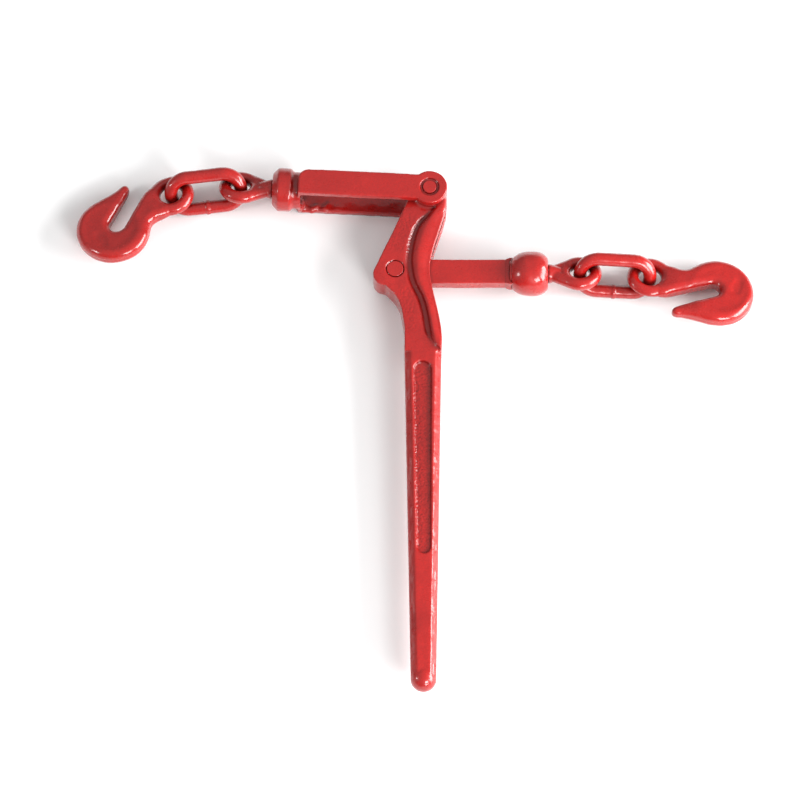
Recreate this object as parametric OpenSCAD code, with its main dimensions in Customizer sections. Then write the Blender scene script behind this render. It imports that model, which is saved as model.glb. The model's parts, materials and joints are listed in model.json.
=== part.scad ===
// Lever load binder with swivel grab hooks, lying flat on its yoke, +Z up, in millimetres.
// The yoke pivot stands at frame_shift; the lever swings level, about a vertical axis.

/* [Yoke] */
// Distance from the yoke pivot to the outer face of the swivel boss
yoke_len = 107.5; // [104:0.5:112]
// Width of each yoke arm
arm_w = 18; // [16:0.5:20]
// Thickness of each yoke arm
arm_t = 5.4; // [5:0.1:6.5]
// Gap between the two yoke arms
arm_gap = 23.6; // [23.6:0.1:24.5]
// Radius of the round ear at the end of each arm
ear_r = 12; // [11:0.5:13]
// Radius of the swivel boss
boss_r = 14.8; // [14.5:0.1:15]

/* [Lever] */
// Distance from the yoke pivot to the handle's tip, along the handle
lever_len = 361; // [330:1:400]
// Thickness across the two cheeks
cheek_span = 18.4; // [18:0.1:19]
// Slot between the cheeks
slot_t = 9.6; // [9.6:0.1:10]
// Thickness across the raised ribs
rib_span = 23; // [22:0.1:23]
// Radius of the rounded tip
tip_r = 8.8; // [8:0.1:9]

/* [Tension bar] */
// Length from the lever pivot to the outer face of the ball socket
bar_len = 104; // [100:0.5:115]
// Width of the flat bar
bar_w = 17.5; // [16:0.5:18]
// Thickness of the flat bar
bar_t = 9; // [8:0.1:9]
// Radius of the ball socket
ball_r = 15.2; // [15:0.1:16]

/* [Pivots] */
// Radius of the short rivets that hold the yoke to the lever
stub_r = 4.6; // [4.4:0.1:4.8]
// Radius of the through rivet that holds the bar to the lever
through_r = 5.6; // [5.2:0.1:5.8]
// Radius of the swivel shanks
shank_r = 6; // [5.5:0.1:6]
// Radial clearance of everything that turns
fit = 0.05; // [0.03:0.01:0.1]

/* [Chain] */
// Radius of the link wire
link_r = 4.5; // [4.2:0.1:4.5]
// Length of a link between the middles of its end bends
link_len = 48; // [47:0.5:50]
// Half the distance between the middles of a link's two sides
link_half = 12; // [12:0.1:12.5]
// Radius of the wire of a swivel eye
eye_r = 4.3; // [4:0.1:4.3]
// Radius of a swivel eye, to the middle of its wire
eye_ring = 10.7; // [10.7:0.1:11]
// Radius of the wire of a hook's eye
hook_eye_r = 4.2; // [4:0.1:4.2]
// Radius of a hook's eye, to the middle of its wire
hook_ring = 11.6; // [11.6:0.1:12]
// Thickness of a hook's body
hook_t = 12; // [11:0.5:12.5]
// Width of a hook's throat, for 10 mm chain
throat_w = 11; // [10.5:0.1:11.5]

/* [Hidden] */
$fn = 64;

half_t = arm_gap / 2 + arm_t;
frame_shift = [10.5, 170.24, half_t];
yoke_yaw = 177;
bar_pivot = [-23.6, -57.5];
// The yoke: its crotch, where its arms end in a rounded corner, and the groove before its boss
crotch = yoke_len - 19.5;
arm_end = crotch + 1.8;
corner_r = 7;
groove_r = 12.5;
boss_at = crotch + 5;
inner_rim = 3.4;
outer_rim = 5.6;
// The rivets: the depths of their countersinks, and how far a stub's head stands out from its shank
dimple = 0.6;
sink = 1.1;
head_out = 1.8;
// The swivels: how far an eye reaches, its neck and head, and the chamber that the head turns in
eye_reach = 36.8;
neck_r = 6.2;
head_len = 6.5;
head_r = 8.6;
washer_t = 2;
neck_gap = 0.5;
counterbore_r = 9.2;
bearing_len = 10;
socket_bearing = 6;
slop = 0.2;
// The bar: its round end, the plug that closes the socket's chamber, and the weld bead around it
bar_end_r = bar_w / 2 + 1.8;
plug_at = bar_len - 26;
plug_t = 5;
bead_w = 2.8;
bead_t = 1;
bead_toe = 0.2;
// The ball: its middle along the bar, and the fuller curve of its outer half
ball_at = bar_len - 13;
outer_half = 14.6;
fullness = 0.68;
// Which side of a link its weld is on
weld_side = -1;

// Each chain's own angles: [yaw, dip, roll]
left_eye_angles = [yoke_yaw, 0, 28];
left_link_angles = [184.7, 5, -50];
left_hook_angles = [212.8, 0.8, 14];
right_eye_angles = [0, 0, -24];
right_link_angles = [-1.5, 5, 50];
right_hook_angles = [-14.7, 0.8, -14];

// The middle of each swivel eye, and of each hook's eye
function heading(angles) =
    [cos(angles[0]) * cos(angles[1]), sin(angles[0]) * cos(angles[1]), -sin(angles[1])];
eye_offset = eye_reach - eye_ring - eye_r;
left_eye_mid = heading([yoke_yaw, 0]) * (yoke_len + eye_offset);
left_hook_mid = left_eye_mid + heading(left_link_angles) * link_len;
right_eye_mid = [bar_pivot[0] + bar_len + eye_offset, bar_pivot[1], 0];
right_hook_mid = right_eye_mid + heading(right_link_angles) * link_len;

// A smooth curve through a list of points, steps pieces between each pair
function catmull(a, b, c, d, t) =
    0.5 * (2 * b + (c - a) * t + (2 * a - 5 * b + 4 * c - d) * t * t + (3 * b - a - 3 * c + d) * t * t * t);
function at(points, i) = points[max(0, min(len(points) - 1, i))];
function smooth_line(points, steps = 4) = [
    for (i = [0 : len(points) - 2], s = [0 : steps - 1])
        catmull(at(points, i - 1), points[i], points[i + 1], at(points, i + 2), s / steps),
    points[len(points) - 1]
];
function reversed(points) = [for (i = [len(points) - 1 : -1 : 0]) points[i]];
function between(a, b, f) = [for (i = [0 : len(a) - 1]) a[i] + (b[i] - a[i]) * f];

// The lever's edges, from the yoke pivot down to where the handle begins
back_edge = smooth_line([[11.6, -3], [11, -13], [6.8, -28], [1.8, -45], [0, -58],
                         [1.8, -72], [4.6, -84], [7, -96], [8.2, -108], [8, -118]]);
rib_edge = smooth_line([[4, -11.4], [1, -16], [-8.4, -27], [-12.6, -41], [-13.8, -53],
                        [-11.8, -66], [-6, -79], [-3, -92], [-1, -104], [4, -114]]);
front_edge = smooth_line([[-17.2, -118], [-17.2, -103], [-18.3, -94], [-19.8, -85.4], [-23.2, -77.6],
                          [-28.4, -71.6]]);
heel_mid = [-30.4, -61.4];
heel_r = 8.2;
slot_edge = [[-60, 40], [-60, -56], [-34, -58], [-26.6, -68.7], [-18.2, -79.6], [-8, -92], [0, -103.5],
             [10, -111], [60, -140], [60, 40]];
handle_top = -112;
handle_top_mid = -4.7;
handle_tip_mid = -4.6;
handle_top_w = 25.4;
handle_tip_w = 17.2;
handle_top_t = 18.4;
handle_tip_t = 15.6;
handle_bevel = 4.2;

// A hook's outer edge, from its eye round the bowl to the point, and the middle of its throat
hook_edge = [[9, 13], [13.5, 12.4], [18.5, 11.4], [23, 12.4], [26.8, 16], [30.8, 20.4], [36.5, 24.4],
             [43.5, 26.4], [51, 26.1], [58.3, 23.5], [64.6, 18.6], [69.2, 11.8], [71.7, 4], [71.6, -4.4],
             [68.6, -12.6], [63.2, -19.2], [56.4, -23.2], [49, -24.8], [41.5, -24.7], [34.5, -24.6],
             [28.6, -25.2], [24.4, -26.3], [21.6, -25.8], [20.5, -23.6], [21.4, -20.9], [24.7, -17.9]];
throat_mid = [43.2, 0.2];
throat_turn = 212.2;
throat_reach = 34;

module left_axis(along) rotate([0, 0, yoke_yaw]) translate([along, 0, 0]) children();
module right_axis(along) translate([bar_pivot[0] + along, bar_pivot[1], 0]) children();
module turned(angles)
    rotate([0, 0, angles[0]]) rotate([0, angles[1], 0]) rotate([angles[2], 0, 0]) children();
module along_x() rotate([0, 90, 0]) children();
module slab(low, high) translate([0, 0, low]) linear_extrude(high - low) children();
module both_sides() {
    children();
    mirror([0, 0, 1]) children();
}

// An arm from the ear to the boss, with its back corner rounded
module arm_outline() {
    translate([0, corner_r - arm_w / 2]) square([arm_end, arm_w - corner_r]);
    translate([0, -arm_w / 2]) square([arm_end - corner_r, arm_w]);
    translate([arm_end - corner_r, corner_r - arm_w / 2]) circle(corner_r);
}

// A clevis of two flat arms, forged in one with a round swivel boss
module yoke() color("firebrick") translate(frame_shift) rotate([0, 0, yoke_yaw]) difference() {
    union() {
        both_sides() slab(arm_gap / 2, half_t) {
            circle(ear_r);
            arm_outline();
        }
        slab(-half_t, half_t) intersection() {
            arm_outline();
            translate([crotch, -arm_w]) square([arm_end, 2 * arm_w]);
        }
        translate([crotch, 0, 0]) along_x() cylinder(h = boss_at - crotch + 1, r = groove_r);
        translate([boss_at, 0, 0]) along_x() swivel_boss();
    }
    translate([yoke_len - bearing_len - 1, 0, 0]) along_x()
        cylinder(h = bearing_len + 2, r = shank_r + fit);
    translate([crotch - 1, 0, 0]) along_x()
        cylinder(h = yoke_len - bearing_len - crotch + 1, r = counterbore_r);
    cylinder(h = 4 * half_t, r = stub_r, center = true);
    both_sides() translate([0, 0, half_t - sink]) cylinder(h = 2, r = stub_r + sink);
}

// The boss is a barrel with rounded rims
module swivel_boss() rotate_extrude() difference() {
    square([boss_r, yoke_len - boss_at]);
    translate([boss_r, 0]) rotate(45) square(inner_rim, center = true);
    translate([boss_r, yoke_len - boss_at]) rotate(45) square(outer_rim, center = true);
}

// A short rivet, headed inside the cheek and closed over in the yoke's arm
module stub_rivet() color("brown") {
    translate([0, 0, slot_t / 2 + 0.1]) cylinder(h = 1.5, r = stub_r + head_out);
    translate([0, 0, slot_t / 2 + 0.1]) cylinder(h = half_t - slot_t / 2 - 0.3, r = stub_r);
}
module yoke_rivet_upper() translate(frame_shift) stub_rivet();
module yoke_rivet_lower() translate(frame_shift) mirror([0, 0, 1]) stub_rivet();

// The outline of both cheeks
module cheek_outline() {
    circle(ear_r);
    translate(heel_mid) circle(heel_r);
    polygon(concat([[-12, 0], [-38.6, -60]], reversed(front_edge), reversed(back_edge), [[11.6, 0]]));
}

// The raised rib on the back edge, in three steps
module rib_layer(near, far) polygon(concat(
    between(rib_edge, back_edge, near), reversed(between(rib_edge, back_edge, far))));

// The bevelled section of the handle, as a thin slice
module handle_slice(mid, y, w, t) translate([mid, y, 0]) rotate([90, 0, 0])
    linear_extrude(0.1, center = true) polygon([
        [-w / 2, t / 2 - handle_bevel], [-w / 2 + handle_bevel, t / 2],
        [w / 2 - handle_bevel, t / 2], [w / 2, t / 2 - handle_bevel],
        [w / 2, handle_bevel - t / 2], [w / 2 - handle_bevel, -t / 2],
        [-w / 2 + handle_bevel, -t / 2], [-w / 2, handle_bevel - t / 2]]);

// The long shallow pocket in each face of the handle
module pocket() {
    translate([-5, -131.5]) circle(6);
    translate([-4.2, -260.5]) circle(4.6);
    polygon([[-11, -131.5], [1, -131.5], [0.4, -260.5], [-8.8, -260.5]]);
}

// The forged lever: two cheeks that straddle the bar, and a tapered handle
module lever() color("firebrick") translate(frame_shift) difference() {
    union() {
        slab(-cheek_span / 2, cheek_span / 2) cheek_outline();
        both_sides() {
            slab(slot_t / 2, rib_span / 2) circle(ear_r - 0.2);
            slab(slot_t / 2, rib_span / 2 - 1.2) rib_layer(0, 1);
            slab(slot_t / 2, rib_span / 2 - 0.5) rib_layer(0.12, 0.9);
            slab(slot_t / 2, rib_span / 2) rib_layer(0.28, 0.78);
        }
        hull() {
            handle_slice(handle_top_mid, handle_top, handle_top_w, handle_top_t);
            handle_slice(handle_tip_mid, -lever_len + tip_r + 1, handle_tip_w, handle_tip_t);
        }
        translate([handle_tip_mid, -lever_len + tip_r, 0]) sphere(tip_r);
    }
    slab(-slot_t / 2, slot_t / 2) {
        polygon(slot_edge);
        translate(bar_pivot) circle(bar_end_r + 1);
    }
    cylinder(h = 2 * half_t, r = stub_r + fit, center = true);
    both_sides() translate([0, 0, slot_t / 2 - 1]) cylinder(h = 2.7, r = stub_r + head_out + 0.1);
    translate(bar_pivot) cylinder(h = 2 * half_t, r = through_r, center = true);
    both_sides() translate([bar_pivot[0], bar_pivot[1], cheek_span / 2 - dimple])
        cylinder(h = 2, r = through_r + dimple);
    both_sides() slab(cheek_span / 2 - 2.6, half_t) pocket();
}

// The through rivet of the tension bar, flush with both cheeks
module lever_rivet() color("brown") translate(frame_shift) translate(bar_pivot)
    cylinder(h = cheek_span - 0.2, r = through_r, center = true);

// The flat bar, with a round end that is bored for the lever's rivet
module tension_bar() color("firebrick") translate(frame_shift) right_axis(0) difference() {
    slab(-bar_t / 2, bar_t / 2) {
        circle(bar_end_r);
        translate([0, -bar_w / 2]) square([plug_at, bar_w]);
    }
    cylinder(h = 3 * bar_t, r = through_r + fit, center = true);
}

// The ball's outline from its inner pole to its outer one: a circle, then a fuller curve
function ball_outline() = concat(
    [for (a = [-90 : 7.5 : 0]) [ball_r * cos(a), ball_r * sin(a)]],
    [for (a = [7.5 : 7.5 : 82.5]) [ball_r * pow(cos(a), fullness), outer_half * pow(sin(a), fullness)]],
    [[0, outer_half]]);

// A ball cut flat at both ends, bored for the swivel
module ball_socket() color("firebrick") translate(frame_shift) right_axis(0) difference() {
    intersection() {
        translate([ball_at, 0, 0]) along_x() rotate_extrude() polygon(ball_outline());
        translate([plug_at, -ball_r, -ball_r]) cube([bar_len - plug_at, 2 * ball_r, 2 * ball_r]);
    }
    translate([plug_at - 1, 0, 0]) along_x()
        cylinder(h = bar_len - plug_at - socket_bearing + 1, r = counterbore_r);
    translate([bar_len - socket_bearing - 1, 0, 0]) along_x()
        cylinder(h = socket_bearing + 2, r = shank_r + fit);
}

// The disc on the bar's end that closes the socket's chamber behind the swivel's head
module socket_plug() color("firebrick") translate(frame_shift) right_axis(plug_at) along_x()
    cylinder(h = plug_t, r = counterbore_r - fit);

// The weld bead around the bar, which widens to the ball
module bead_taper(half) polygon([
    [plug_at - bead_w, -half - bead_toe], [plug_at, -half - bead_t], [plug_at + bead_w, -half - bead_t],
    [plug_at + bead_w, half + bead_t], [plug_at, half + bead_t], [plug_at - bead_w, half + bead_toe]]);
module socket_weld() color("brown") translate(frame_shift) right_axis(0) difference() {
    intersection() {
        linear_extrude(bar_t + 2 * bead_t, center = true) bead_taper(bar_w / 2);
        rotate([90, 0, 0]) linear_extrude(bar_w + 2 * bead_t, center = true) bead_taper(bar_t / 2);
    }
    linear_extrude(bar_t, center = true) square([4 * plug_at, bar_w], center = true);
    translate([plug_at, 0, 0]) along_x() cylinder(h = 2 * bead_w, r = counterbore_r);
    translate([ball_at, 0, 0]) along_x() rotate_extrude() difference() {
        polygon(ball_outline());
        translate([0, -2 * ball_r]) square([ball_r, 2 * ball_r - ball_at + plug_at]);
    }
}

// A ring of round wire
module ring(major, minor) rotate_extrude() translate([major, 0]) circle(minor);

// An eye on a shank. The shank's end is upset into a head; face is where the boss ends
module swivel_eye(angles, bearing) {
    neck_turn = asin(eye_ring / eye_offset);
    color("firebrick") rotate([angles[2], 0, 0]) {
        translate([eye_offset, 0, 0]) ring(eye_ring, eye_r);
        translate([neck_gap, 0, 0]) along_x() cylinder(h = 8, r1 = neck_r + 0.6, r2 = eye_r);
        for (side = [-1, 1])
            rotate([0, 0, side * neck_turn]) translate([1, 0, 0]) along_x()
                cylinder(h = eye_offset * cos(neck_turn) - 1, r = eye_r - 0.2);
        translate([-bearing - washer_t - 1, 0, 0]) along_x()
            cylinder(h = bearing + washer_t + 3, r = shank_r);
        translate([-bearing - washer_t - head_len, 0, 0]) along_x()
            cylinder(h = head_len - slop, r = head_r);
    }
}
module swivel_washer(bearing) color("silver") translate([-bearing - washer_t, 0, 0])
    along_x() difference() {
        cylinder(h = washer_t - slop / 2, r = head_r + 0.4);
        translate([0, 0, -1]) cylinder(h = washer_t + 2, r = shank_r + fit);
    }
module left_swivel_eye() translate(frame_shift) left_axis(yoke_len)
    swivel_eye(left_eye_angles, bearing_len);
module left_swivel_washer() translate(frame_shift) left_axis(yoke_len)
    swivel_washer(bearing_len);
module right_swivel_eye() translate(frame_shift) right_axis(bar_len)
    swivel_eye(right_eye_angles, socket_bearing);
module right_swivel_washer() translate(frame_shift) right_axis(bar_len)
    swivel_washer(socket_bearing);

// A welded oval link, from the middle of one end bend, with its weld on one side
module link() color("firebrick") {
    straight = link_len - 2 * link_half;
    for (end = [0, 1])
        translate([link_half + end * straight, 0, 0]) rotate([0, 0, end ? -90 : 90])
            rotate_extrude(angle = 180) translate([link_half, 0]) circle(link_r);
    for (side = [-1, 1])
        translate([link_half, side * link_half, 0]) along_x() cylinder(h = straight, r = link_r);
    translate([link_len / 2 - 1, weld_side * link_half, 0]) along_x() cylinder(h = 2, r = link_r + 0.5);
}
module left_link() translate(frame_shift) translate(left_eye_mid) turned(left_link_angles)
    mirror([0, 1, 0]) link();
module right_link() translate(frame_shift) translate(right_eye_mid) turned(right_link_angles) link();

// A grab hook: a round eye, a narrow neck, and a bowl with a straight throat that grips a link
module hook_outline() difference() {
    polygon(concat(smooth_line(hook_edge), [[14.2, -11.6], [9, -13.4]]));
    translate(throat_mid) {
        circle(throat_w / 2);
        rotate(throat_turn) translate([0, -throat_w / 2]) square([throat_reach, throat_w]);
    }
}
module hook() color("firebrick") {
    ring(hook_ring, hook_eye_r);
    slab(-hook_t / 2, hook_t / 2) hook_outline();
}
module left_hook() translate(frame_shift) translate(left_hook_mid) turned(left_hook_angles) hook();
module right_hook() translate(frame_shift) translate(right_hook_mid) turned(right_hook_angles) hook();

yoke();
yoke_rivet_upper();
yoke_rivet_lower();
lever();
lever_rivet();
tension_bar();
ball_socket();
socket_plug();
socket_weld();
left_swivel_eye();
left_swivel_washer();
left_link();
left_hook();
right_swivel_eye();
right_swivel_washer();
right_link();
right_hook();
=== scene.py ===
"""A lever load binder in glossy red enamel, lying on a pale floor, seen from above its front edge."""

import json
import math

import bpy
import numpy as np
import openvdb as vdb
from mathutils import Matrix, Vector, noise

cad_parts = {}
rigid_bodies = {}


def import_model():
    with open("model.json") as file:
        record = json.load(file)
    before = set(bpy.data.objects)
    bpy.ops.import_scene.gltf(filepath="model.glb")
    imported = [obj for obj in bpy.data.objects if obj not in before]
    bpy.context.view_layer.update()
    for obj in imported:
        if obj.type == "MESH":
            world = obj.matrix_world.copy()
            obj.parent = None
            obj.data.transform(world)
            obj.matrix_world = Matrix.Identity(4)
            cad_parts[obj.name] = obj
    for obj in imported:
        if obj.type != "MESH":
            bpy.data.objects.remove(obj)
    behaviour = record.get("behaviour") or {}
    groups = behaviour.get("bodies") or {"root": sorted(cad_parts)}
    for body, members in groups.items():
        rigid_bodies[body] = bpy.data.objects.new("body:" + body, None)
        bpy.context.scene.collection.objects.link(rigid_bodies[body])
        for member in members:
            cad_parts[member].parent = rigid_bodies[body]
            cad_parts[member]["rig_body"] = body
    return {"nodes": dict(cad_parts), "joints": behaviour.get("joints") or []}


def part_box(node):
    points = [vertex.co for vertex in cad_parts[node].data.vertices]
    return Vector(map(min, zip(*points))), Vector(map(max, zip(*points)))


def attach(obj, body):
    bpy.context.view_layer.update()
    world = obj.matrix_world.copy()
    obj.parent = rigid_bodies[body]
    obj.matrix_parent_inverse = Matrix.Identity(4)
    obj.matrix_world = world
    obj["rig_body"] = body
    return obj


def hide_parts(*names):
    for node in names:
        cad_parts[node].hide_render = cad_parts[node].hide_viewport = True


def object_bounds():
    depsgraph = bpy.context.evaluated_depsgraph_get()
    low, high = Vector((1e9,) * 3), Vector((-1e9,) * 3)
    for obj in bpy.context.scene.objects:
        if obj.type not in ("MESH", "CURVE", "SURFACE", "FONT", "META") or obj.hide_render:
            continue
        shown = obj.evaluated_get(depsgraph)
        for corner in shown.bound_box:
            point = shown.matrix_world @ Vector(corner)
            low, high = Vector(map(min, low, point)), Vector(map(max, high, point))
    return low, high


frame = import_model()
cad_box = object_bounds()
nodes = frame["nodes"]
scene = bpy.context.scene
MM = 0.001  # the frame is in metres

# The uneven skin that every forging has, as (size of its features, depth).
LONG_WAVES = (22 * MM, 0.25 * MM)
SHORT_WAVES = (6 * MM, 0.13 * MM)
SOFTEN_SHARE = 0.5  # how far each smoothing pass moves a point towards its neighbours

# The lever's back rib: its rows across the lever, counted down from the yoke's pivot.
RIB_ROW = 1.5 * MM
RIB_ROWS = (10, 76)
RIB_RISE = 2.3 * MM
RIB_VALLEY = (1.7 * MM, 1.9 * MM)  # half width, depth

RING_RADIUS = 5.7 * MM  # of the groove round each rivet's head
SLOT_PLAIN = 5.8 * MM  # how far from the middle plane the lever's slot reaches, with room to spare

# The grab hooks, in their own axes from the eye's middle.
HOOK_CELL = 0.45 * MM
HOOK_LOW = (-20, -34, -9)  # the low corner of the space that holds a hook, in mm
HOOK_SPACE = (100, 66, 18)  # and its size, in mm
HOOK_BOWL = (49 * MM, 1.2 * MM)
HOOK_HALF = 6.0 * MM
HOOK_CORNER = 4.9 * MM
HOOK_PASSES = 5
FIELD_BAND = 14  # cells on each side of an outline in which distances are kept
WELD_STEP = 0.001 * MM  # points nearer than this are one point

# ---------------------------------------------------------------- places, from the frame
joints = {joint["name"]: joint for joint in frame["joints"]}
yoke_pivot = Vector(joints["lever_swing"]["pos_m"])
bar_pivot = Vector(joints["bar_swing"]["pos_m"])
yoke_along = (Vector(joints["left_swivel"]["pos_m"]) - yoke_pivot).normalized()
yoke_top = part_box("yoke")[1].z
cheek_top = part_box("lever_rivet")[1].z
box_low, box_high = (Vector(corner) for corner in cad_box)
middle = (box_low + box_high) / 2


# ---------------------------------------------------------------- materials
def material(name, **sockets):
    """A new principled material with constant values on its sockets."""
    made = bpy.data.materials.new(name)
    made.use_nodes = True
    shader = made.node_tree.nodes["Principled BSDF"]
    for socket, value in sockets.items():
        shader.inputs[socket.replace("_", " ")].default_value = value
    return made, made.node_tree, shader


def noise_node(tree, scale, detail, roughness=0.55):
    """Noise in the object's own coordinates; scale is in features per metre."""
    place = tree.nodes.new("ShaderNodeTexCoord")
    made = tree.nodes.new("ShaderNodeTexNoise")
    made.inputs["Scale"].default_value = scale
    made.inputs["Detail"].default_value = detail
    made.inputs["Roughness"].default_value = roughness
    tree.links.new(place.outputs["Object"], made.inputs["Vector"])
    return made.outputs["Fac"]


def remap(tree, value, low, high, to_low, to_high):
    """A value's range from low to high, spread over to_low to to_high and cut off there."""
    made = tree.nodes.new("ShaderNodeMapRange")
    for socket, number in (("From Min", low), ("From Max", high), ("To Min", to_low), ("To Max", to_high)):
        made.inputs[socket].default_value = number
    tree.links.new(value, made.inputs["Value"])
    return made.outputs["Result"]


def blend_colour(tree, factor, first, second):
    """A mix of two colours; each is a colour or another node's output."""
    made = tree.nodes.new("ShaderNodeMix")
    made.data_type = "RGBA"
    tree.links.new(factor, made.inputs["Factor"])
    for socket, colour in (("A", first), ("B", second)):
        target = next(i for i in made.inputs if i.name == socket and i.type == "RGBA")
        if isinstance(colour, tuple):
            target.default_value = (*colour, 1)
        else:
            tree.links.new(colour, target)
    return next(o for o in made.outputs if o.type == "RGBA")


def bump(tree, height, distance, strength, below=None):
    """A bump of a height, on top of the bump below if there is one."""
    made = tree.nodes.new("ShaderNodeBump")
    made.inputs["Strength"].default_value = strength
    made.inputs["Distance"].default_value = distance
    tree.links.new(height, made.inputs["Height"])
    if below is not None:
        tree.links.new(below, made.inputs["Normal"])
    return made.outputs["Normal"]


def darker(colour, share):
    return tuple(c * share for c in colour)


def enamel(name, bright, deep, gloss=0.30, peel=1.0, pits=1.0):
    """Thick sprayed enamel over a rough forging, with painted shade darkening its hollows and enclosed
    places and a painted highlight lightening its edges.
    """
    made, tree, shader = material(name, Specular_IOR_Level=0.36, Coat_Weight=0.60, Coat_Roughness=0.06)
    broad = remap(tree, noise_node(tree, 38, 2), 0.3, 0.7, 0, 1)
    colour = blend_colour(tree, broad, deep, bright)
    speck = remap(tree, noise_node(tree, 900, 3), 0.42, 0.58, 0, 0.35)
    colour = blend_colour(tree, speck, colour, darker(deep, 0.75))
    # Painted shade: enclosed places are darkened, within the piece over a long reach, and near any other
    # over a short one.
    for reach, inside, low, high in ((30 * MM, True, 0.40, 0.92), (4 * MM, False, 0.25, 0.85)):
        nook = tree.nodes.new("ShaderNodeAmbientOcclusion")
        nook.samples, nook.only_local = 6, inside
        nook.inputs["Distance"].default_value = reach
        shade = remap(tree, nook.outputs["AO"], low, high, 0.9, 0)
        colour = blend_colour(tree, shade, colour, darker(deep, 0.2))
    curve = tree.nodes.new("ShaderNodeNewGeometry").outputs["Pointiness"]
    # Painted shade: concave places, found by the mesh's pointiness, are darkened.
    hollow = remap(tree, curve, 0.40, 0.49, 1, 0)
    # Painted highlight: sharp convex edges, found by the mesh's pointiness, are lightened.
    edge = remap(tree, curve, 0.53, 0.62, 0, 0.55)
    colour = blend_colour(tree, hollow, colour, darker(deep, 0.45))
    colour = blend_colour(tree, edge, colour, tuple(min(1, c * 1.35 + 0.02) for c in bright))
    tree.links.new(colour, shader.inputs["Base Color"])
    rough = remap(tree, noise_node(tree, 170, 4), 0.3, 0.7, gloss - 0.08, gloss + 0.12)
    tree.links.new(rough, shader.inputs["Roughness"])
    # Shallow dents of the forging, then the enamel's orange peel, then its dust.
    normal = bump(tree, noise_node(tree, 95, 2), 0.9 * MM, 0.35 * pits)
    normal = bump(tree, noise_node(tree, 420, 2, 0.4), 0.22 * MM, 0.40 * peel, normal)
    normal = bump(tree, noise_node(tree, 1500, 2), 0.05 * MM, 0.25 * peel, normal)
    tree.links.new(normal, shader.inputs["Normal"])
    tree.links.new(normal, shader.inputs["Coat Normal"])
    return made


RED = (0.42, 0.009, 0.007)
RIVET_RED = (0.40, 0.009, 0.007)
WELD_RED = (0.38, 0.009, 0.007)
DEEP_RED = (0.33, 0.006, 0.005)
looks = {
    "forged": enamel("forged_enamel", RED, DEEP_RED),
    "chain": enamel("chain_enamel", RED, DEEP_RED, gloss=0.26, peel=0.7, pits=0.8),
    "rivet": enamel("rivet_enamel", RIVET_RED, DEEP_RED, gloss=0.34, pits=0.5),
    "bead": enamel("weld_enamel", WELD_RED, DEEP_RED, pits=1.6),
}


def plated():
    """Zinc-plated steel with a dull, uneven sheen, for the hidden washers."""
    made, tree, shader = material("plated_steel", Metallic=1.0)
    tone = remap(tree, noise_node(tree, 260, 4), 0.3, 0.7, 0, 1)
    colour = blend_colour(tree, tone, (0.42, 0.42, 0.41), (0.62, 0.62, 0.60))
    rough = remap(tree, noise_node(tree, 900, 3), 0.3, 0.7, 0.28, 0.5)
    normal = bump(tree, noise_node(tree, 1400, 2), 0.05 * MM, 0.3)
    tree.links.new(colour, shader.inputs["Base Color"])
    tree.links.new(rough, shader.inputs["Roughness"])
    tree.links.new(normal, shader.inputs["Normal"])
    return made


looks["plated"] = plated()


# ---------------------------------------------------------------- meshes and their relief
def mesh_arrays(mesh):
    """The points and normals of a mesh, as two arrays."""
    out = []
    for attribute in ("co", "normal"):
        flat = np.empty(len(mesh.vertices) * 3)
        mesh.vertices.foreach_get(attribute, flat)
        out.append(flat.reshape(-1, 3))
    return out


def lumps(points, size, depth, seed):
    """Unevenness for each point, in metres: features of about size, up to depth."""
    offset = Vector((seed * 7.31, seed * 3.17, seed * 5.77))
    return np.array([noise.noise(Vector(p) / size + offset) for p in points]) * depth


def step(value, start, end):
    """0 before start and 1 after end, with a smooth rise between."""
    t = np.clip((value - start) / (end - start), 0, 1)
    return t * t * (3 - 2 * t)


def ring_groove(centre, radius, width, depth, top):
    """A groove round a rivet, on a face that looks up at the height top, or down at its mirror."""
    def push(points, normals):
        away = np.hypot(points[:, 0] - centre.x, points[:, 1] - centre.y)
        on_face = np.abs(np.abs(points[:, 2] - middle.z) - (top - middle.z)) < 1.6 * MM
        level = np.abs(normals[:, 2]) > 0.6
        return np.where(on_face & level, -depth * np.exp(-(((away - radius) / width) ** 2)), 0)
    return push


def drops(places):
    """Droplets of enamel and weld spatter: (middle, radius, height) of each."""
    def push(points, normals):
        total = np.zeros(len(points))
        for centre, radius, height in places:
            away = np.linalg.norm(points - np.array(centre), axis=1)
            total += height * np.exp(-((away / radius) ** 2))
        return total
    return push


def parting_line(plane_point, normal, height=0.22 * MM, width=0.55 * MM):
    """The trimmed flash line that the two dies leave round a forging's edge."""
    direction = np.array(normal)

    def push(points, normals):
        off = (points - np.array(plane_point)) @ direction
        side = 1 - np.abs(normals @ direction)
        ragged = 0.6 + 0.8 * np.abs(lumps(points, 9 * MM, 1, 3))
        return height * np.exp(-((off / width) ** 2)) * step(side, 0.4, 0.9) * ragged
    return push


def cast_patch(low, high, size, depth, seed):
    """Coarse scale pressed into the faces inside a box in X and Y, where the enamel glitters."""
    fade = 2 * MM

    def push(points, normals):
        inside = np.ones(len(points))
        for axis in (0, 1):
            inside *= step(points[:, axis], low[axis], low[axis] + fade)
            inside *= 1 - step(points[:, axis], high[axis] - fade, high[axis])
        inside *= step(np.abs(normals[:, 2]), 0.7, 0.95)
        chosen = inside > 0
        total = np.zeros(len(points))
        coarse = lumps(points[chosen], size, depth, seed)
        fine = lumps(points[chosen], size / 2.1, depth / 2, seed + 1)
        total[chosen] = coarse + fine
        return total * inside
    return push


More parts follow.
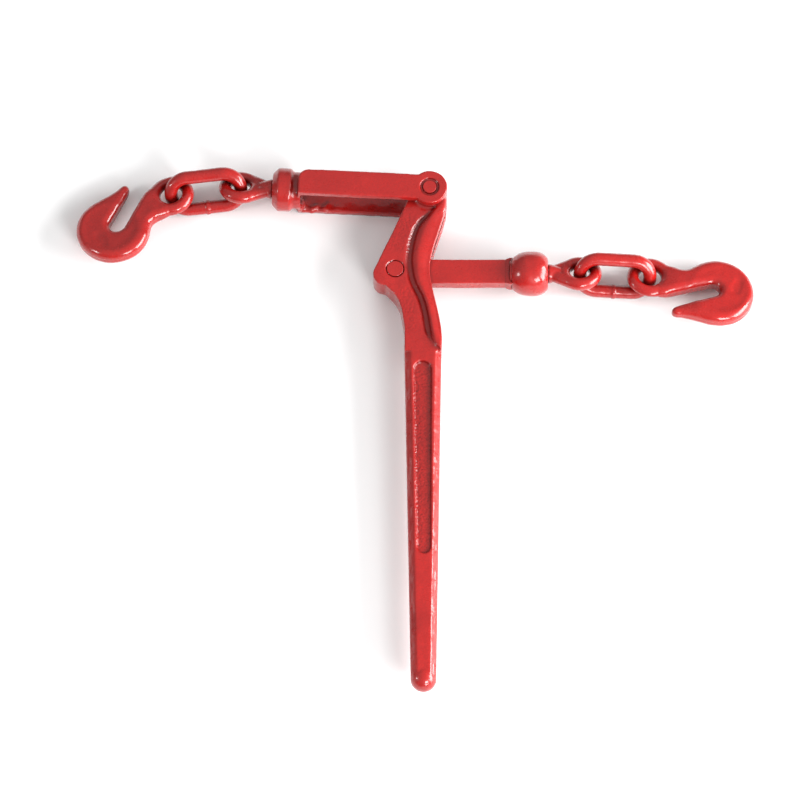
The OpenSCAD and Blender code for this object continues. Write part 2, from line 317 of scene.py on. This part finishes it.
def back_rib(points, normals):
    """Turns the stepped rib on the lever's back edge into a round one, with a steep valley before it."""
    height = np.abs(points[:, 2] - middle.z)
    face = cheek_top - middle.z
    upright = np.abs(normals[:, 2])
    row = (yoke_pivot.y - points[:, 1]) / RIB_ROW
    rows = np.arange(*RIB_ROWS)
    raised = (height > face + 0.7 * MM) & (upright > 0.5)
    front = np.array([points[raised & (np.abs(row - n) < 1), 0].min() for n in rows])
    back = np.array([points[np.abs(row - n) < 1, 0].max() for n in rows])
    smooth = np.ones(5) / 5  # a running mean over five rows
    front[2:-2], back[2:-2] = np.convolve(front, smooth, "valid"), np.convolve(back, smooth, "valid")
    front, back = np.interp(row, rows, front), np.interp(row, rows, back)
    across = (points[:, 0] - front) / (back - front)
    shape = step(across, -0.04, 0.42) * (1 - 0.75 * step(across, 0.4, 1.05))
    target = face + RIB_RISE * shape
    from_valley = points[:, 0] - front + 0.4 * MM
    valley_half, valley_depth = RIB_VALLEY
    target = target - valley_depth * np.exp(-((from_valley / valley_half) ** 2))
    near = step(from_valley, -4 * MM, -2.5 * MM) * step(upright, 0.35, 0.75)
    near = near * step(height, 6 * MM, 7.5 * MM)
    near = near * step(row, 9, 14) * (1 - step(row, 68, RIB_ROWS[1]))
    return np.where(near > 0, (target - height) * near, 0)


def softened(piece, passes):
    """The piece's mesh as its modifiers leave it, once its corners are smoothed over some passes."""
    soften = piece.modifiers.new("soften", "SMOOTH")
    soften.factor, soften.iterations = SOFTEN_SHARE, passes
    depsgraph = bpy.context.evaluated_depsgraph_get()
    mesh = bpy.data.meshes.new_from_object(piece.evaluated_get(depsgraph))
    piece.modifiers.clear()
    return mesh


def finish_piece(piece, node, look, relief, uneven, seed, plain=0):
    """Adds the forging's uneven skin and relief, keeps it in the CAD box, and sets its looks and body.
    The skin stays as it is within plain of the middle plane."""
    mesh = piece.data
    points, normals = mesh_arrays(mesh)
    push = lumps(points, LONG_WAVES[0], LONG_WAVES[1] * uneven, seed)
    push = push + lumps(points, SHORT_WAVES[0], SHORT_WAVES[1] * uneven, seed + 1)
    for extra in relief:
        push = push + extra(points, normals)
    push = np.where(np.abs(points[:, 2] - middle.z) < plain, 0, push)
    low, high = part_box(node)
    points = np.clip(points + normals * push[:, None], np.array(low), np.array(high))
    mesh.vertices.foreach_set("co", points.ravel())
    mesh.polygons.foreach_set("use_smooth", [True] * len(mesh.polygons))
    mesh.materials.clear()
    mesh.materials.append(looks[look])
    mesh.update()
    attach(piece, nodes[node]["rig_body"])
    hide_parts(node)


def forged(node, name, voxel, passes, look, relief=(), uneven=1.0, seed=1, plain=0):
    """The CAD node's shape with its corners rounded, as a forging's are. Plain is how far from the middle
    plane no unevenness is added, where another piece turns between its cheeks."""
    piece = bpy.data.objects.new(name, nodes[node].data.copy())
    scene.collection.objects.link(piece)
    skin = piece.modifiers.new("skin", "REMESH")
    skin.mode, skin.voxel_size = "VOXEL", voxel
    piece.data = softened(piece, passes)
    finish_piece(piece, node, look, relief, uneven, seed, plain)


# ---------------------------------------------------------------- grab hooks
def hook_frame(side):
    """The hook's own axes as columns, and its eye's middle: X towards the bowl, Z across its faces."""
    joint = joints[side + "_hook_swing"]
    eye = Vector(joint["pos_m"])
    across = Vector(joint["axis"]).normalized()
    mesh = nodes[side + "_hook"].data
    points, _ = mesh_arrays(mesh)
    far = points[np.argmax(np.linalg.norm(points - np.array(eye), axis=1))]
    towards = Vector(far) - eye
    towards = (towards - across * towards.dot(across)).normalized()
    return np.array((towards, across.cross(towards), across)).T, np.array(eye)


def outline_field(side, axes, eye, cell, low, counts):
    """How far each cell of the hook's middle plane is from its outline; inside is negative."""
    mesh = nodes[side + "_hook"].data
    points, _ = mesh_arrays(mesh)
    local = (points - eye) @ axes
    mesh.calc_loop_triangles()
    corners = np.empty(len(mesh.loop_triangles) * 3, np.int32)
    mesh.loop_triangles.foreach_get("vertices", corners)
    merged, index = np.unique(np.round(local / WELD_STEP).astype(np.int64), axis=0, return_inverse=True)
    triangles = index.ravel()[corners].reshape(-1, 3)
    first, second, third = triangles.T
    triangles = triangles[(first != second) & (second != third) & (first != third)]
    spot = merged * WELD_STEP / cell - np.array(low) / cell
    grid = vdb.FloatGrid.createLevelSetFromPolygons(spot, triangles=triangles, halfWidth=FIELD_BAND)
    field = np.full((counts[0], counts[1], 1), float(FIELD_BAND), np.float32)
    grid.copyToArray(field, ijk=(0, 0, int(round(-low[2] / cell))))
    return field[:, :, 0] * cell


def grab_hook(side):
    """A hook whose section follows its outline: round at the eye, thick at the bowl, slim at the point."""
    axes, eye = hook_frame(side)
    cell = HOOK_CELL
    low = np.array(HOOK_LOW) * MM
    counts = [int(n * MM / cell) for n in HOOK_SPACE]
    edge = outline_field(side, axes, eye, cell, low, counts)
    x, y, z = (low[i] + np.arange(counts[i]) * cell for i in range(3))
    x2, y2 = np.meshgrid(x, y, indexing="ij")
    along = np.hypot(x2 - HOOK_BOWL[0], y2 - HOOK_BOWL[1])
    eye_share = 1 - step(x2, 4 * MM, 20 * MM)
    point_share = (1 - step(x2, 18 * MM, 42 * MM)) * (1 - step(y2, -16 * MM, -9 * MM))
    half = HOOK_HALF - 1.6 * MM * eye_share - 2.0 * MM * point_share
    hollow = ((x2 - 59 * MM) / (3.6 * MM)) ** 2 + ((y2 - 6 * MM) / (7 * MM)) ** 2
    half = half - 0.7 * MM * np.exp(-(hollow ** 2))
    half = half + 0.35 * MM * np.exp(-(((along - 20 * MM) / (2.5 * MM)) ** 2)) * (1 - eye_share)
    corner = HOOK_CORNER - 1.1 * MM * point_share
    side_way = (edge + corner)[:, :, None]
    face_way = np.abs(z)[None, None, :] - (half - corner)[:, :, None]
    field = np.minimum(np.maximum(side_way, face_way), 0)
    field = field + np.hypot(np.maximum(side_way, 0), np.maximum(face_way, 0)) - corner[:, :, None]
    grid = vdb.FloatGrid()
    grid.background = 3.0
    grid.copyFromArray(np.clip(field / cell, -3, 3).astype(np.float32))
    points, quads = grid.convertToQuads(isovalue=0)
    points = eye + (points * cell + low) @ axes.T
    mesh = bpy.data.meshes.new(side + "_grab_hook")
    mesh.from_pydata(points.tolist(), [], quads[:, ::-1].tolist())
    piece = bpy.data.objects.new(side + "_grab_hook", mesh)
    scene.collection.objects.link(piece)
    piece.data = softened(piece, HOOK_PASSES)
    flash = parting_line(eye, axes[:, 2])
    finish_piece(piece, side + "_hook", "chain", [flash], 1.0, 11 + len(side))


# ---------------------------------------------------------------- the pieces
def along_yoke(distance, across, height):
    """A place by its distance from the yoke's pivot, across to the front, and height above the middle."""
    front = Vector((-yoke_along.y, yoke_along.x, 0))
    return yoke_pivot + yoke_along * distance * MM + front * across * MM + Vector((0, 0, height * MM))


# Each drop's distance along the yoke, place across it and height, then its radius and how far it stands.
SPATTER = [
    (86.5, 5.5, -10.5, 4.6, 3.4),
    (80, 8.0, -12.2, 2.8, 2.0),
    (86, 8.5, -8.0, 3.0, 1.8),
    (77, 6.0, -11.6, 1.8, 1.2),
    (72, 7.0, -11.8, 2.4, 1.1),
    (69, 4.0, -11.8, 2.0, 0.9),
    (63, 6.0, -11.8, 3.0, 0.7),
    (90.5, 9.5, 6.0, 1.2, 0.6),
    (90.8, 10.8, 2.0, 1.0, 0.6),
    (91.2, 11, -2.5, 1.3, 0.7),
]
spatter = [(along_yoke(*place), radius * MM, rise * MM) for *place, radius, rise in SPATTER]
yoke_ring = ring_groove(yoke_pivot, RING_RADIUS, 0.75 * MM, 1.0 * MM, yoke_top)
yoke_flash = parting_line(middle, (0, 0, 1), 0.15 * MM)
# Each call gives the CAD node, the piece's name, voxel size, smoothing passes and look, then any relief.
forged("yoke", "forged_yoke", 0.5 * MM, 14, "forged",
       [yoke_ring, drops(spatter), yoke_flash], seed=2)


def patch_at(pivot, low, high, size, depth, seed):
    """A cast patch between two corners, given in mm from a pivot."""
    corners = [(pivot.x + x * MM, pivot.y + y * MM) for x, y in (low, high)]
    return cast_patch(*corners, size * MM, depth * MM, seed)


lever_ring = ring_groove(bar_pivot, RING_RADIUS, 0.55 * MM, 0.7 * MM, cheek_top)
pocket_scale = patch_at(yoke_pivot, (-11, -264), (2, -128), 0.9, 0.5, 5)
upper_scale = patch_at(bar_pivot, (-4, 11), (16, 42), 1.0, 0.34, 7)
neck_scale = patch_at(bar_pivot, (2, -46), (15, -12), 1.0, 0.34, 9)
forged("lever", "forged_lever", 0.6 * MM, 9, "forged",
       [back_rib, lever_ring, parting_line(middle, (0, 0, 1)), pocket_scale, upper_scale, neck_scale],
       seed=4, plain=SLOT_PLAIN)
forged("tension_bar", "flat_bar", 0.5 * MM, 5, "forged", seed=6)
forged("ball_socket", "ball_end", 0.45 * MM, 16, "forged", uneven=1.3, seed=8)
forged("socket_weld", "bar_weld", 0.3 * MM, 8, "bead", uneven=1.6, seed=9)
forged("socket_plug", "socket_disc", 0.5 * MM, 4, "bead", seed=10)
for side in ("left", "right"):
    forged(side + "_swivel_eye", side + "_eye_forging", 0.45 * MM, 14, "chain",
           seed=12 + len(side))
    forged(side + "_link", side + "_chain_link", 0.45 * MM, 6, "chain",
           uneven=0.8, seed=20 + len(side))
    grab_hook(side)
for node in ("yoke_rivet_upper", "yoke_rivet_lower", "lever_rivet"):
    name = node.replace("rivet", "pin_head")
    forged(node, name, 0.3 * MM, 4, "rivet", uneven=0.7, seed=30)
for side in ("left", "right"):
    nodes[side + "_swivel_washer"].data.materials.clear()
    nodes[side + "_swivel_washer"].data.materials.append(looks["plated"])


# ---------------------------------------------------------------- floor, light and camera
def floor():
    """A plain pale floor, a little uneven in tone."""
    bpy.ops.mesh.primitive_plane_add(size=9)
    made = bpy.context.object
    made.name = "studio_floor"
    look, tree, shader = material("studio_white", Roughness=0.6)
    tone = remap(tree, noise_node(tree, 3, 3), 0.3, 0.7, 0, 1)
    colour = blend_colour(tree, tone, (0.92, 0.92, 0.92), (0.94, 0.94, 0.94))
    tree.links.new(colour, shader.inputs["Base Color"])
    made.data.materials.append(look)


def softbox(name, direction, distance, size, power):
    """A white light, square or oblong, that faces the middle of the object."""
    data = bpy.data.lights.new(name, "AREA")
    data.shape, data.size, data.size_y = "RECTANGLE", *size
    data.energy = power
    made = bpy.data.objects.new(name, data)
    scene.collection.objects.link(made)
    made.location = Vector(direction).normalized() * distance + middle
    made.rotation_euler = (middle - made.location).to_track_quat("-Z", "Y").to_euler()


def studio_sky(horizon, zenith):
    """A white surround that is dimmer near the horizon than overhead."""
    world = bpy.data.worlds.new("studio")
    scene.world = world
    world.use_nodes = True
    tree = world.node_tree
    place = tree.nodes.new("ShaderNodeTexCoord")
    split = tree.nodes.new("ShaderNodeSeparateXYZ")
    tree.links.new(place.outputs["Generated"], split.inputs["Vector"])
    strength = remap(tree, split.outputs["Z"], 0.0, 0.9, horizon, zenith)
    tree.links.new(strength, tree.nodes["Background"].inputs["Strength"])
    tree.nodes["Background"].inputs["Color"].default_value = (1, 1, 1, 1)


def camera(target, elevation, distance, lens):
    """A camera in front of the target and above it, by an elevation in degrees."""
    data = bpy.data.cameras.new("photo_camera")
    data.lens, data.clip_end = lens, 20
    made = bpy.data.objects.new("photo_camera", data)
    scene.collection.objects.link(made)
    tilt = math.radians(elevation)
    back = Vector((0, -math.cos(tilt), math.sin(tilt)))
    made.location = target + back * distance
    made.rotation_euler = back.to_track_quat("Z", "Y").to_euler()
    scene.camera = made


floor()
studio_sky(0.24, 0.64)
softbox("key", (0.93, -0.08, 0.35), 1.7, (1.5, 0.9), 66)
softbox("front", (0.42, -0.75, 0.50), 1.8, (0.7, 0.6), 24)
softbox("glint", (-0.87, -0.20, 0.46), 1.7, (0.25, 0.25), 6)
camera(middle + Vector((-9.7 * MM, 19.5 * MM, 0)), elevation=67.13, distance=5.0, lens=333)
scene.view_settings.view_transform = "Standard"
